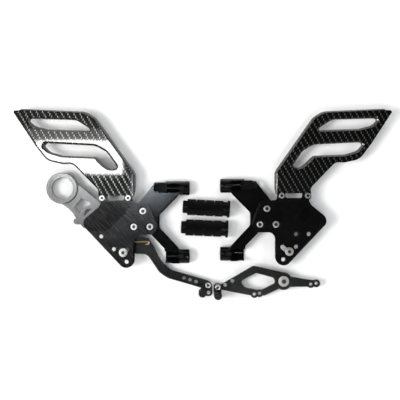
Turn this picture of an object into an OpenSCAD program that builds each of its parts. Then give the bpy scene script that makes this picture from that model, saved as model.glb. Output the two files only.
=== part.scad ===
// Motorcycle rear sets laid out flat: two peg plates on their frame brackets with heel guards,
// brake lever, silencer hanger, shift lever and a pair of footpegs. Millimetres, +Z up.
// Each side has its own frame: the pivot hole is at [0, 0], x runs forwards and y upwards.

/* [Layout] */
// Distance of each pivot hole from the middle of the set
side_x = 136.4; // [132:0.2:150]
// How much lower the brake side lies than the shift side
brake_drop = 3.6; // [0:0.2:10]
// Shift lever pivot, sideways from the middle
lever_x = 118.6; // [118.6:0.2:130]
// Shift lever pivot, below the shift side's pivot hole
lever_drop = 71.4; // [70:0.2:90]
// Footpeg middles, above and below
peg_rows = 30.5; // [28:0.5:40]
// Height of the footpegs' middle line above the middle of the frame bosses
peg_lift = 3.1; // [-1:0.1:9]

/* [Frame bracket] */
// Thickness of the bracket's web
bracket_t = 12; // [10:0.5:14]
// Height of the web's underside
bracket_z = 8; // [7:0.5:10]
// Radius of the two frame bosses
boss_r = 10.75; // [10:0.25:12]
// Distance between the frame bolts
boss_spacing = 102.8; // [98:0.2:106]
// Where the bosses end, forwards of the pivot hole
boss_end = 113.5; // [108:0.5:120]
// Radius of the frame bolt holes
frame_bolt_r = 5.25; // [4.25:0.25:6]
// Radius of the counterbore for the frame bolt's head
frame_head_r = 7.6; // [7:0.1:8.2]

/* [Peg plate] */
// Thickness of the peg plate
plate_t = 10; // [9:0.5:12]
// Pitch of the footpeg holes
peg_pitch = 19; // [18:0.5:20]
// Radius of the footpeg holes
peg_hole_r = 4; // [3:0.25:4.5]
// Depth of each milled step on the rear of the plate
step_depth = 1.4; // [0.6:0.1:1.8]
// Pitch of the milled steps
step_pitch = 18; // [14:0.5:20]
// Radius of the stop slot's arc
slot_arc_r = 28; // [27.5:0.1:28.5]
// Thickness of the two guard tabs
tab_t = 6; // [5:0.5:7]
// Width of the broad chamfer on the plate's front edge
edge_chamfer = 3.2; // [1:0.2:4]

/* [Fasteners] */
// Radius of the bracket bolts
bolt_r = 3; // [2.5:0.1:3.2]
// Radius of their heads
bolt_head_r = 5; // [4.8:0.1:5.4]
// Height of their heads
bolt_head_h = 6; // [5:0.25:6.5]
// Radius of the guard bolts
guard_bolt_r = 2.5; // [2:0.1:2.6]
// Radius of the guard bolts' heads
guard_head_r = 4.2; // [4:0.1:4.8]
// Radius of the stop washers
washer_r = 6.4; // [6:0.1:7]
// Thickness of the stop washers
washer_t = 1.2; // [0.8:0.1:1.6]
// Radius of the stop sleeves
sleeve_r = 5; // [4.6:0.1:5.2]
// Thickness of the stop nuts
nut_t = 5; // [4:0.25:5.5]
// Play of a bolt in its clearance hole
hole_play = 0.3; // [0.2:0.05:0.5]
// Play of a bolt in its thread
thread_play = 0.05; // [0.02:0.01:0.1]

/* [Heel guard] */
// Thickness of the guard
guard_t = 2.5; // [1.5:0.25:3]
// Width of the bent lip, seen from above
lip_w = 5; // [3:0.25:6]
// How far the lip bends down
lip_drop = 5; // [3:0.25:7]
// Width of the rolled rim round the guard's openings
rim_w = 3.5; // [2:0.25:4]
// Its width at the openings' rear ends
rim_end_w = 8; // [4:0.5:9]
// How far the rim reaches below the guard
rim_drop = 2; // [1:0.25:3]

/* [Silencer hanger] */
// Thickness of the hanger's arm
hanger_t = 12; // [9:0.5:12]
// Radius of the hanger eye's bore
eye_bore_r = 16.5; // [15:0.25:17.5]
// Radius of the eye's step
eye_step_r = 19.5; // [19:0.25:20.5]
// Outer radius of the eye
eye_r = 23.5; // [22.5:0.25:25]

/* [Brake lever] */
// Thickness of the lever
brake_lever_t = 7; // [6:0.25:7.5]
// Height of the lever's underside
brake_lever_z = 5; // [4.5:0.25:6]
// Radius of the lever's hub
brake_hub_r = 13; // [12.5:0.25:14]
// Radius of the pivot bolt's shoulder
pivot_r = 5; // [4.6:0.1:5.2]
// Wall of the pivot bush
bush_wall = 1.5; // [1:0.1:1.8]
// Running play round a pivot
pivot_play = 0.05; // [0.02:0.01:0.1]
// Radius of the return spring's wire
wire_r = 1.1; // [0.8:0.05:1.2]
// Turns of the return spring
spring_turns = 2.2; // [1.2:1:2.2]

/* [Toe pegs] */
// Radius of a toe peg
toe_r = 6; // [5:0.1:6.1]
// Length of a toe peg
toe_len = 26; // [20:1:32]
// Thickness of a toe link
toe_link_t = 5; // [4:0.25:5]
// Radius of a toe link's corners
toe_link_r = 5.6; // [5:0.1:5.8]
// Radius of the toe bolts
toe_bolt_r = 2.5; // [2:0.1:2.6]

/* [Footpegs] */
// Radius of the knurled body
peg_r = 12.3; // [11:0.1:12.8]
// Radius of the end flange
peg_flange_r = 13; // [12.9:0.1:15]
// Length of one knurled band
band_len = 12.6; // [10:0.2:13.5]
// Number of knurled bands
bands = 4; // [2:1:4]
// Depth of the knurl
knurl_depth = 0.7; // [0.3:0.1:1.2]

/* [Shift lever] */
// Thickness of the lever's frame
shift_lever_t = 8; // [6:0.5:9]
// Height of its underside
shift_lever_z = 9.5; // [8.8:0.1:11]
// Radius of its pivot boss
shift_boss_r = 13.2; // [12.5:0.1:14]
// Height of its pivot boss
shift_boss_h = 14; // [12:0.5:16]
// Radius of the pivot bolt
shift_bolt_r = 4; // [3.5:0.1:4.2]
// Radius of the pivot collar's flange
collar_r = 7.9; // [7.5:0.1:9]
// Thickness of the pivot nut
pivot_nut_t = 6; // [5:0.25:6.5]
// Radius of the lobes that take the shift rod
lobe_r = 5.8; // [5:0.1:6.2]
// Radius of the threaded rod holes
rod_hole_r = 2.5; // [2:0.1:3]

/* [Hidden] */

black = [0.07, 0.07, 0.08];
dark_grey = [0.11, 0.11, 0.12];
carbon = [0.15, 0.15, 0.15];
steel = [0.80, 0.79, 0.76];
gold = [0.76, 0.62, 0.36];
bronze = [0.62, 0.45, 0.25];

$fn = 64;
arc_step = 12;

// Heights of the stack: web, plate, tabs, guard
plate_z = bracket_z + bracket_t;
plate_top = plate_z + plate_t;
tab_top = plate_z + tab_t;
guard_top = tab_top + guard_t;
head_seat = plate_top - bolt_head_h - 0.5;

// Frame bosses
boss_low_y = -30.3;
boss_top_y = boss_low_y + boss_spacing;
boss_middle_y = (boss_low_y + boss_top_y) / 2;
boss_back = 66;

// Holes of the plate
bracket_holes = [[30, 14.5], [54, 14.5], [43.5, 38]];
guard_holes = [[-17.5, 57.5], [21.5, 57.5]];
hanger_holes = [[-17, 40], [-37, 21]];
spare_peg_holes = [[-peg_pitch, 0], [0, -peg_pitch], [peg_pitch, -2 * peg_pitch]];
slot_from = -68.3;
slot_to = -43.5;
brake_stop_angle = -59.3;
shift_stop_angle = slot_from;

// Brake lever: the bush turns on the bolt's shoulder, the spring sits round the lever's boss
bush_r = pivot_r + pivot_play + bush_wall;
lever_boss_r = bush_r + 1.6;
coil_r = lever_boss_r + wire_r + 0.25;
lever_top = brake_lever_z + brake_lever_t;
coil_z = lever_top + wire_r + 0.15;
coil_pitch = 2 * wire_r + 0.1;
leg_angle = 1.5;
leg_start = leg_angle - 90;
leg_end_angle = leg_start - 360 * spring_turns;
anchor_leg = 12;
bend_r = 1.5;
anchor_r = sqrt(coil_r * coil_r + anchor_leg * anchor_leg);
anchor_angle = leg_end_angle - atan(anchor_leg / coil_r);
press_angle = 10;

// Brake toe
brake_toe_a = [141.3, -74];
brake_toe_b = [142, -85];
brake_toe_c = [132.8, -84.2];

// Shift lever, about its own pivot
lever_end = [-99.3, -9.3];
shift_toe = [-99, -20.9];
rod_lobes = [[-44, -19.6], [-36.3, -18.4], [41.2, -4.6], [49.4, -3.4]];
shift_boss_z = pivot_nut_t;
shift_boss_top = shift_boss_z + shift_boss_h;
shift_top = shift_lever_z + shift_lever_t;
shift_bush_r = shift_bolt_r + 2.2;

// Heel guard, about the pivot hole: its front edge with the bend, then the rest
guard_front = [
    [28.5, 57, 0], [28.5, 93, 12], [-30, 174.5, 14], [-47, 184.5, 22], [-143, 189, 0]
];
guard_rear = [
    [-152.5, 188.7, 2.5], [-118, 137, 18], [-100, 113.5, 22], [-76, 108.5, 12], [-62, 109, 12],
    [-23, 69.5, 8], [-23, 53.2, 4.5], [-11.8, 53.2, 4.5], [-10, 61, 1.5], [16, 61, 1.5],
    [16.8, 53.2, 4.5], [28.5, 53.2, 4.5]
];

// The shift side's guard is a little smaller, in length and in height
brake_guard_size = [1, 1];
shift_guard_size = [0.955, 0.975];
foot_y = 53.2;

// The set is centred on its own outline
guard_top_y = 191.5;
middle_x = (guard_reach(brake_guard_size) - guard_reach(shift_guard_size)) / 2;
top_edge = guard_top_y - brake_drop;
bottom_edge = -lever_drop + shift_toe[1] - toe_r;
shift_y = -(top_edge + bottom_edge) / 2;
brake_y = shift_y - brake_drop;
lever_y = shift_y - lever_drop;

// Profiles

function flat(p) = [p[0], p[1]];

// One corner [x, y, radius] between two others becomes an arc tangent to both sides
function corner(a, b, c) =
    b[2] == 0 ? [flat(b)] :
    let (
        p = flat(a) - flat(b),
        q = flat(c) - flat(b),
        u = p / norm(p),
        v = q / norm(q),
        half = acos(max(-0.9999, min(0.9999, u * v))) / 2,
        reach = min(b[2] / tan(half), 0.49 * norm(p), 0.49 * norm(q)),
        mid = (u + v) / norm(u + v),
        centre = flat(b) + mid * reach / cos(half),
        start = flat(b) + u * reach - centre,
        turn = (u[0] * v[1] - u[1] * v[0] > 0 ? -1 : 1) * (180 - 2 * half),
        steps = max(1, ceil(abs(turn) / arc_step))
    )
    [for (i = [0 : steps]) centre + turned(start, turn * i / steps)];

function turned(p, a) = [p[0] * cos(a) - p[1] * sin(a), p[0] * sin(a) + p[1] * cos(a)];

function polar(r, a) = [r * cos(a), r * sin(a)];

// Closed outline with rounded corners
function rounded(pts) =
    let (n = len(pts))
    [for (i = [0 : n - 1]) each corner(pts[(i + n - 1) % n], pts[i], pts[(i + 1) % n])];

// Open line with rounded corners
function rounded_line(pts) =
    let (n = len(pts))
    [for (i = [0 : n - 1])
        each (i == 0 || i == n - 1 ? [flat(pts[i])] : corner(pts[i - 1], pts[i], pts[i + 1]))];

module prism(pts, z, h) {
    translate([0, 0, z]) linear_extrude(h) polygon(rounded(pts));
}

module drill(p, r, z0, z1) {
    translate([p[0], p[1], z0]) cylinder(h = z1 - z0, r = r);
}

function arc_points(centre, r, from, to) =
    let (steps = max(2, ceil(abs(to - from) / arc_step)))
    [for (i = [0 : steps]) centre + polar(r, from + (to - from) * i / steps)];

// Slot along an arc about the origin, with round ends
module arc_slot(r, half_w, from, to, z0, z1) {
    translate([0, 0, z0]) linear_extrude(z1 - z0) polygon(concat(
        arc_points([0, 0], r + half_w, from, to),
        arc_points(polar(r, to), half_w, to + 15, to + 165),
        arc_points([0, 0], r - half_w, to, from),
        arc_points(polar(r, from), half_w, from + 195, from + 345)
    ));
}

// Takes the edge from a to b off: a sloping face w wide, with the solid on the left of the way there
module edge_cut(a, b, w, drop, top) {
    run = b - a;
    translate([a[0], a[1], top])
        rotate([0, 0, atan2(run[1], run[0])])
            rotate([90, 0, 90])
                linear_extrude(norm(run))
                    polygon([[-w - 1, drop / w], [2, drop / w], [2, -drop - 2 * drop / w]]);
}

// Fasteners

// Socket head bolt with its seat at z = 0, pointing down
module cap_bolt(r, head_r, head_h, length) {
    edge = 0.12 * head_r;
    difference() {
        union() {
            cylinder(h = head_h - edge, r = head_r);
            translate([0, 0, head_h - edge]) cylinder(h = edge, r1 = head_r, r2 = head_r - edge);
            translate([0, 0, -length]) cylinder(h = length, r = r);
        }
        translate([0, 0, 0.45 * head_h]) cylinder(h = head_h, r = 0.95 * r, $fn = 6);
    }
}

module hex_nut(bore_r, r, h) {
    difference() {
        cylinder(h = h, r = r, $fn = 6);
        translate([0, 0, -1]) cylinder(h = h + 2, r = bore_r);
    }
}

module ring(bore_r, r, h) {
    difference() {
        cylinder(h = h, r = r);
        translate([0, 0, -1]) cylinder(h = h + 2, r = bore_r);
    }
}

// Sides

module on_brake_side() {
    translate([middle_x - side_x, brake_y, 0]) children();
}

module on_shift_side() {
    translate([middle_x + side_x, shift_y, 0]) mirror([1, 0, 0]) children();
}

module on_lever() {
    translate([middle_x + lever_x, lever_y, 0]) children();
}

// Frame bracket

bracket_outline = [
    [21, 5, 8], [54, 4, 3], [76, -19, 5], [74.5, -29, 8], [83, boss_low_y - boss_r, 12],
    [98, boss_low_y - boss_r, 0], [98, -19, 4], [68, 13, 9], [68, 32, 9], [97, boss_top_y - 11, 3],
    [97, boss_top_y + boss_r - 2.6, 0], [61, boss_top_y + boss_r - 2.6, 14], [35, 48, 5], [22, 24, 8]
];

module boss(y) {
    translate([0, y, boss_r]) rotate([0, 90, 0]) {
        translate([0, 0, boss_back + 11]) cylinder(h = boss_end - boss_back - 12.5, r = boss_r);
        translate([0, 0, boss_end - 1.5]) cylinder(h = 1.5, r1 = boss_r, r2 = boss_r - 1.2);
    }
}

// Bolt hole along the boss, and the scooped counterbore that lets the bolt in from above
module boss_cut(y) {
    head_end = boss_end - 20;
    translate([0, y, boss_r]) {
        rotate([0, 90, 0]) cylinder(h = boss_end + 1, r = frame_bolt_r);
        translate([boss_back, 0, 0]) rotate([0, 90, 0]) cylinder(h = head_end - boss_back, r = frame_head_r);
        translate([boss_back, 0, 0]) cylinder(h = 40, r = frame_head_r);
        translate([boss_back, -frame_head_r, 0]) cube([15, 2 * frame_head_r, 40]);
        translate([boss_back + 10, 0, 0]) rotate([0, 55, 0]) cylinder(h = 60, r = frame_head_r);
    }
}

module frame_bracket() {
    difference() {
        union() {
            prism(bracket_outline, bracket_z, bracket_t);
            boss(boss_low_y);
            boss(boss_top_y);
        }
        boss_cut(boss_low_y);
        boss_cut(boss_top_y);
        for (p = bracket_holes) drill(p, bolt_r + thread_play, bracket_z - 1, plate_z + 1);
        edge_cut([68, 15], [68, 30], 2.4, 3, plate_z);
        edge_cut([71, 35], [96, boss_top_y - 12], 1.6, 2, plate_z);
        edge_cut([95, -16], [71, 10], 1.6, 2, plate_z);
    }
}

// Peg plate

plate_front_x = 31.2;
plate_outline = [
    [-50.5, 20.9, 11], [-22.5, 43.9, 10], [-19, 51, 2], [-23, 54.5, 2], [-23, 64, 5],
    [-9.5, 64, 2], [-9.5, 54, 3], [15.5, 54, 3], [15.5, 64, 2], [28.5, 64, 5], [28.5, 51.3, 3],
    [52, 48.8, 5], [66.5, 14, 7], [59, 2.6, 5], [plate_front_x, 3, 11],
    [plate_front_x, -65.9, 12.5]
];
step_area = [
    [-60, 7.7, 0], [-9.5, 7.7, 14], [33, 51.4, 0], [33, 80, 0], [-60, 80, 0]
];
step_first = 37.5;

// Sloping steps that run across the plate: a saw-tooth profile pulled along the diagonal
module milled_steps() {
    teeth = [for (i = [0 : 4])
        let (s = step_first - i * step_pitch)
        each [[s, -0.3], [s - step_pitch, -step_depth]]];
    intersection() {
        rotate([0, 0, 45])
            translate([0, 120, plate_top])
                rotate([90, 0, 0])
                    linear_extrude(240)
                        polygon(concat([[90, 5], [90, -0.3]], teeth, [[step_first - 5 * step_pitch, 5]]));
        prism(step_area, plate_top - 4, 10);
    }
}

module peg_plate(brake) {
    difference() {
        prism(plate_outline, plate_z, plate_t);
        milled_steps();
        translate([-40, 52.4, tab_top]) cube([68.6 + 8, 30, plate_t]);
        for (p = bracket_holes) {
            drill(p, bolt_r + hole_play, plate_z - 1, plate_top + 1);
            drill(p, bolt_head_r + 1.9, head_seat, plate_top + 1);
        }
        for (p = guard_holes) drill(p, guard_bolt_r + thread_play, plate_z - 1, plate_top + 1);
        for (p = spare_peg_holes) drill(p, peg_hole_r, plate_z - 1, plate_top + 1);
        drill([0, 0], peg_hole_r + (brake ? thread_play : 0), plate_z - 1, plate_top + 1);
        arc_slot(slot_arc_r, bolt_r + hole_play, slot_from, slot_to, plate_z - 1, plate_top + 1);
        edge_cut([plate_front_x, -38], [plate_front_x, -8.5], edge_chamfer, edge_chamfer, plate_top);
        edge_cut([10.4, -43.8], [-42, 11.9], 1.6, 1.6, plate_top);
        if (brake) {
            for (p = hanger_holes) drill(p, bolt_r + thread_play, plate_z - 1, plate_z + 5.2);
            arc_slot(anchor_r, wire_r + 0.5, anchor_angle - press_angle - 1, anchor_angle + 1,
                plate_z - 1, plate_z + bend_r + 1.5);
        }
    }
}

module bracket_bolts() {
    for (p = bracket_holes)
        translate([p[0], p[1], head_seat])
            cap_bolt(bolt_r, bolt_head_r, bolt_head_h, head_seat - bracket_z - 1);
}

// Heel guard

upper_opening = [
    [-130, 176.5, 4], [-57, 174.5, 18], [-38.5, 163, 8], [-34.5, 158.5, 2], [-98, 160.5, 14],
    [-118, 165.5, 16]
];
lower_opening = [
    [-107.5, 140, 4], [-28, 136, 22], [-11, 126.5, 14], [5.5, 103, 2.5], [-5, 100.5, 10], [-13, 106.5, 14],
    [-26, 119, 9], [-76, 121, 14], [-95, 126.5, 16]
];

// Points above the foot, made longer or shorter and higher or lower
function sized(pts, size) =
    [for (p = pts) p[1] < foot_y + 9 ? p : [size[0] * p[0], foot_y + size[1] * (p[1] - foot_y), p[2]]];

function between(a, b, t) = flat(a) + t * (flat(b) - flat(a));

// How far a guard reaches rearwards
function guard_reach(size) =
    max([for (p = rounded(sized(concat(guard_front, guard_rear), size))) -p[0]]);

// Points along the bend line, from the foot to the tip
function lip_line(size) =
    let (line = rounded_line(sized(guard_front, size)), last_run = len(line) - 2)
    [for (i = [0 : last_run])
        let (
            a = line[i],
            b = line[i + 1],
            shares =
                i == 0 ? [0.03, 0.12, 0.4] :
                i == last_run ? [0.05, 0.8, 0.95, 0.99] :
                norm(b - a) > 10 ? [0.15, 0.85] : [0.5]
        )
        for (t = shares) between(a, b, t)];

// Share of the lip's width at the first points and, counted backwards, at the last ones
lip_grow = [-0.06, 0.5, 0.8, 1];
lip_fade = [-0.06, 0.5, 0.6, 0.65, 0.7, 0.8, 0.9, 1];

function line_dir(pts, i) =
    let (d = pts[min(i + 1, len(pts) - 1)] - pts[max(i - 1, 0)])
    d / norm(d);

// The lip's section: from its root along the top of the bend to the edge, and back underneath
lip_root = 0.8;
function lip_section(w, bend) =
    let (
        top = guard_t - 0.2,
        low = 0.5 * guard_t,
        reach = w + lip_root,
        wall = min(0.8 * guard_t, 0.3 * reach)
    )
    concat(
        [for (a = [0 : 22.5 : 90])
            [reach * sin(a) - lip_root, top - bend * lip_drop * (1 - cos(a))]],
        [for (a = [90 : -22.5 : 0])
            [(reach - wall) * sin(a) - lip_root, low - bend * (lip_drop - top + low) * (1 - cos(a))]]
    );

// A section carried along the bend line. It starts and ends inside the guard
module lip(size) {
    line = lip_line(size);
    n = len(line);
    m = len(lip_section(1, 1));
    points = [for (i = [0 : n - 1])
        let (
            d = line_dir(line, i),
            out = [d[1], -d[0]],
            w = lip_w * min(lip_grow[min(i, 3)], lip_fade[min(n - 1 - i, 7)]),
            bend = min(1, i / 2, (n - 1 - i) / 2)
        )
        for (q = lip_section(w, bend)) [
            line[i][0] + out[0] * q[0],
            line[i][1] + out[1] * q[0],
            tab_top + q[1]
        ]];
    sides = [for (i = [0 : n - 2]) for (j = [0 : m - 1])
        [i * m + j, (i + 1) * m + j, (i + 1) * m + (j + 1) % m, i * m + (j + 1) % m]];
    first = [[for (j = [0 : m - 1]) j]];
    last = [[for (j = [m - 1 : -1 : 0]) (n - 1) * m + j]];
    polyhedron(points, concat(sides, first, last));
}

// Points between the corners of an opening, each with its way out and the rim's width there.
// The rim widens where it faces the rear
function rim_line(pts) =
    let (line = rounded(pts), n = len(line))
    [for (i = [0 : n - 1])
        let (
            a = line[i],
            b = line[(i + 1) % n],
            d = (b - a) / norm(b - a),
            out = [-d[1], d[0]],
            rear = max(0, -out[0])
        )
        for (t = norm(b - a) > 10 ? [0.1, 0.5, 0.9] : [0.5])
            [between(a, b, t), out, rim_w + (rim_end_w - rim_w) * rear * rear]];

// The rim's edge, or a line a share of its width away from it
function rim_edge(line, share) = [for (q = line) q[0] + share * q[2] * q[1]];

// The roll: a quarter round from the guard's top down into the opening
module rim_roll(line) {
    n = len(line);
    deep = guard_t + rim_drop - 0.5;
    rings = concat([[1.05, guard_top + 0.3]],
        [for (a = [11 : 19 : 68]) [1 - sin(a), guard_top - deep * (1 - cos(a))]],
        [[-0.15, guard_top - deep]]);
    last = len(rings) - 1;
    points = [for (r = rings) for (q = rim_edge(line, r[0])) [q[0], q[1], r[1]]];
    walls = [for (j = [0 : last - 1]) for (i = [0 : n - 1])
        [j * n + i, (j + 1) * n + i, (j + 1) * n + (i + 1) % n, j * n + (i + 1) % n]];
    top = [[for (i = [0 : n - 1]) i]];
    bottom = [[for (i = [n - 1 : -1 : 0]) last * n + i]];
    polyhedron(points, concat(walls, top, bottom));
}

module rim(pts) {
    translate([0, 0, tab_top - rim_drop]) linear_extrude(rim_drop + guard_t / 2)
        polygon(rim_edge(rim_line(pts), 0.8));
}

module heel_guard(size) {
    openings = [sized(upper_opening, size), sized(lower_opening, size)];
    difference() {
        union() {
            prism(sized(concat(guard_front, guard_rear), size), tab_top, guard_t);
            for (o = openings) rim(o);
        }
        for (o = openings) {
            prism(o, tab_top - rim_drop - 1, guard_t + rim_drop + 2);
            rim_roll(rim_line(o));
        }
        for (p = guard_holes) drill(p, guard_bolt_r + hole_play, tab_top - 1, guard_top + 1);
    }
    lip(size);
}

module guard_bolts() {
    for (p = guard_holes)
        translate([p[0], p[1], guard_top])
            cap_bolt(guard_bolt_r, guard_head_r, 0.9 * guard_head_r, guard_top - plate_z - 0.5);
}

// Stop bolt with washer, sleeve and nut

module stop_bolt(angle) {
    translate(polar(slot_arc_r, angle))
        translate([0, 0, plate_top + washer_t])
            cap_bolt(bolt_r, bolt_head_r, bolt_head_h, plate_top + washer_t);
}

module stop_washer(angle) {
    translate(polar(slot_arc_r, angle))
        translate([0, 0, plate_top])
            ring(bolt_r + hole_play, washer_r, washer_t);
}

module stop_sleeve(angle) {
    translate(polar(slot_arc_r, angle))
        translate([0, 0, nut_t])
            ring(bolt_r + hole_play, sleeve_r, plate_z - nut_t);
}

module stop_nut(angle) {
    translate(polar(slot_arc_r, angle))
        hex_nut(bolt_r + thread_play, 1.83 * bolt_r, nut_t);
}

// Silencer hanger

eye = [-79, 72.3];
hanger_outline = [
    [-62, 82, 0], [-51, 75, 5], [-24, 53, 6], [-9.5, 42, 7], [-18, 28, 6], [-30, 12.5, 7], [-46, 12, 6],
    [-57.5, 26.5, 3], [-61.5, 34, 10], [-69, 42, 8], [-82, 50, 0], [-88, 62, 0]
];
hanger_window = [[-49, 58, 2], [-34, 49.3, 2], [-47, 42.6, 7], [-52, 34, 2], [-60, 44, 2]];
hanger_lens = [[-33.5, 42.2, 0.8], [-44.4, 39.8, 5], [-46, 29.5, 0.8]];
hanger_top = plate_z;
hanger_bottom = hanger_top - hanger_t;

module silencer_hanger() {
    color(dark_grey) on_brake_side() difference() {
        union() {
            difference() {
                union() {
                    prism(hanger_outline, hanger_bottom, hanger_t);
                    drill([-57, 22.4], 4.5, hanger_bottom, hanger_top);
                    translate([-57, 17.9, hanger_bottom]) cube([12, 9, hanger_t]);
                }
                drill(eye, eye_r + 5.5, hanger_top - 5, hanger_top + 1);
            }
            drill(eye, eye_r, 0, hanger_top - 1);
            translate([eye[0], eye[1], hanger_top - 1]) cylinder(h = 1, r1 = eye_r, r2 = eye_r - 1);
        }
        drill(eye, eye_bore_r, -1, hanger_top + 1);
        drill(eye, eye_step_r, hanger_top - 2.5, hanger_top + 1);
        prism(hanger_window, hanger_bottom - 1, hanger_t + 2);
        prism(hanger_lens, hanger_bottom - 1, hanger_t + 2);
        for (p = hanger_holes) {
            drill(p, bolt_r + hole_play, hanger_bottom - 1, hanger_top + 1);
            drill(p, bolt_head_r + 0.8, hanger_bottom - 1, hanger_bottom + bolt_head_h + 0.5);
        }
    }
}

module hanger_bolts() {
    seat = hanger_bottom + bolt_head_h + 0.5;
    color(steel) on_brake_side() for (p = hanger_holes)
        translate([p[0], p[1], seat])
            mirror([0, 0, 1])
                cap_bolt(bolt_r, bolt_head_r, bolt_head_h, plate_z + 5 - seat);
}

// Brake lever

arm_upper = [
    [0, 12.5, 0], [20, 6, 12], [34, -0.5, 20], [50, -2, 9], [57, -13, 14], [71, -39, 18],
    [86, -51.5, 16], [132, -64.6, 0], [139, -66.6, 5], [147, -70.4, 6]
];
arm_lower = [
    [146.4, -80, 6], [133, -79, 3], [124, -76.3, 0], [80, -63.5, 26], [67, -54.5, 20], [57, -39, 16],
    [49, -27.5, 13], [31, -26.6, 7], [21.5, -16.4, 8], [9, -9, 0]
];
toe_holes = [[104.4, -63.5], [113.7, -66.3], [122.7, -69]];
finger_w = 3.4;
finger_gap = 0.3;
finger_angle = brake_stop_angle - asin((sleeve_r + finger_w / 2 + finger_gap) / slot_arc_r);
hook_pin = [50, -coil_r + 50 * tan(leg_angle) - 2];

module brake_lever() {
    color(black) on_brake_side() difference() {
        union() {
            prism(concat(arm_upper, arm_lower), brake_lever_z, brake_lever_t);
            drill([0, 0], brake_hub_r, brake_lever_z, lever_top);
            drill([0, 0], lever_boss_r, brake_lever_z, plate_z - 0.3);
            rotate([0, 0, finger_angle])
                translate([brake_hub_r - 3, -finger_w / 2, brake_lever_z])
                    cube([slot_arc_r + 3 - brake_hub_r + 3, finger_w, brake_lever_t]);
            drill(hook_pin, 2 - wire_r - 0.1, lever_top - 1, lever_top + 2.6);
        }
        drill([0, 0], bush_r + 0.02, brake_lever_z - 1, plate_z + 1);
        for (p = toe_holes) drill(p, toe_bolt_r + hole_play, brake_lever_z - 1, lever_top + 1);
        drill(brake_toe_a, toe_bolt_r + hole_play, brake_lever_z - 1, lever_top + 1);
        edge_cut([84.5, -64.8], [123, -76], 1.4, 1.4, lever_top);
    }
}

module brake_pivot_bush() {
    color(bronze) on_brake_side()
        translate([0, 0, brake_lever_z]) ring(pivot_r + pivot_play, bush_r, plate_z - 0.3 - brake_lever_z);
}

module brake_pivot_bolt() {
    head_h = 4;
    color(steel) on_brake_side() difference() {
        union() {
            drill([0, 0], bush_r + 1, brake_lever_z - 0.2 - head_h, brake_lever_z - 0.2);
            drill([0, 0], pivot_r, brake_lever_z - 0.3, plate_z);
            drill([0, 0], peg_hole_r, plate_z - 1, plate_top - 1);
        }
        translate([0, 0, brake_lever_z - 0.3 - head_h]) cylinder(h = 2.6, r = 3, $fn = 6);
    }
}

// Wire carried along a path whose points all lie nearly level
module wire(path, r, sides = 8) {
    n = len(path);
    points = [for (i = [0 : n - 1])
        let (
            d = path[min(i + 1, n - 1)] - path[max(i - 1, 0)],
            t = d / norm(d),
            across = cross(t, [0, 0, 1]) / norm(cross(t, [0, 0, 1])),
            up = cross(across, t)
        )
        for (k = [0 : sides - 1])
            path[i] + r * cos(360 * k / sides) * across + r * sin(360 * k / sides) * up];
    walls = [for (i = [0 : n - 2]) for (k = [0 : sides - 1])
        [i * sides + k, i * sides + (k + 1) % sides,
            (i + 1) * sides + (k + 1) % sides, (i + 1) * sides + k]];
    first = [[for (k = [sides - 1 : -1 : 0]) k]];
    last = [[for (k = [0 : sides - 1]) (n - 1) * sides + k]];
    polyhedron(points, concat(walls, first, last));
}

function lift(p, z) = [p[0], p[1], z];

// Torsion spring: a hook on the lever, a straight leg, the coil, and a short leg to its anchor
module brake_return_spring() {
    hook = [for (a = [-60 : 30 : 90]) lift(hook_pin + polar(2, leg_angle + a), coil_z)];
    tail = lift(hook_pin + turned([-3.4, -2], leg_angle), coil_z);
    tail_near = lift(hook_pin + turned([-0.8, -2], leg_angle), coil_z);
    steps = ceil(spring_turns * 18);
    coil = [for (i = [0 : steps])
        let (turns = spring_turns * i / steps)
        lift(polar(coil_r, leg_start - 360 * turns), coil_z + coil_pitch * turns)];
    top_z = coil_z + coil_pitch * spring_turns;
    leg_dir = polar(1, leg_end_angle - 90);
    tip = polar(anchor_r, anchor_angle);
    bend = [for (a = [0 : 28 : 84])
        lift(tip + leg_dir * bend_r * (sin(a) - 1), top_z + bend_r * (1 - cos(a)))];
    end = bend[len(bend) - 1] + [0.1 * leg_dir[0], 0.1 * leg_dir[1], 1];
    color(gold) on_brake_side() wire(concat([tail, tail_near], hook, coil, bend, [end]), wire_r);
}

// Toe links, pegs and bolts

module toe_peg(z) {
    translate([0, 0, z]) rotate_extrude() polygon([
        [0, 0], [toe_r, 0], [toe_r, 3], [toe_r - 0.7, 4], [toe_r - 0.7, toe_len - 4],
        [toe_r, toe_len - 3], [toe_r, toe_len - 1], [toe_r - 1, toe_len], [2.2, toe_len], [2.2, toe_len - 1],
        [0, toe_len - 1]
    ]);
}

module toe_link(spots, z) {
    difference() {
        translate([0, 0, z]) linear_extrude(toe_link_t)
            hull() for (p = spots) translate(p) circle(r = toe_link_r, $fn = 32);
        for (p = spots) drill(p, toe_bolt_r + hole_play, z - 1, z + toe_link_t + 1);
    }
}

module brake_toe_link() {
    color(black) on_brake_side() toe_link([brake_toe_a, brake_toe_b, brake_toe_c], lever_top);
}

module brake_toe_peg() {
    color(black) on_brake_side() translate(brake_toe_c) difference() {
        toe_peg(lever_top + toe_link_t);
        drill([0, 0], toe_bolt_r + thread_play, lever_top, lever_top + toe_link_t + 12);
    }
}

module brake_toe_bolts() {
    color(steel) on_brake_side() {
        translate([brake_toe_a[0], brake_toe_a[1], lever_top + toe_link_t])
            cap_bolt(toe_bolt_r, 1.7 * toe_bolt_r, 1.5 * toe_bolt_r, brake_lever_t + toe_link_t + 1);
        translate([brake_toe_c[0], brake_toe_c[1], lever_top])
            mirror([0, 0, 1]) cap_bolt(toe_bolt_r, 1.7 * toe_bolt_r, 1.5 * toe_bolt_r, toe_link_t + 10);
    }
}

// Shift lever

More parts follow.
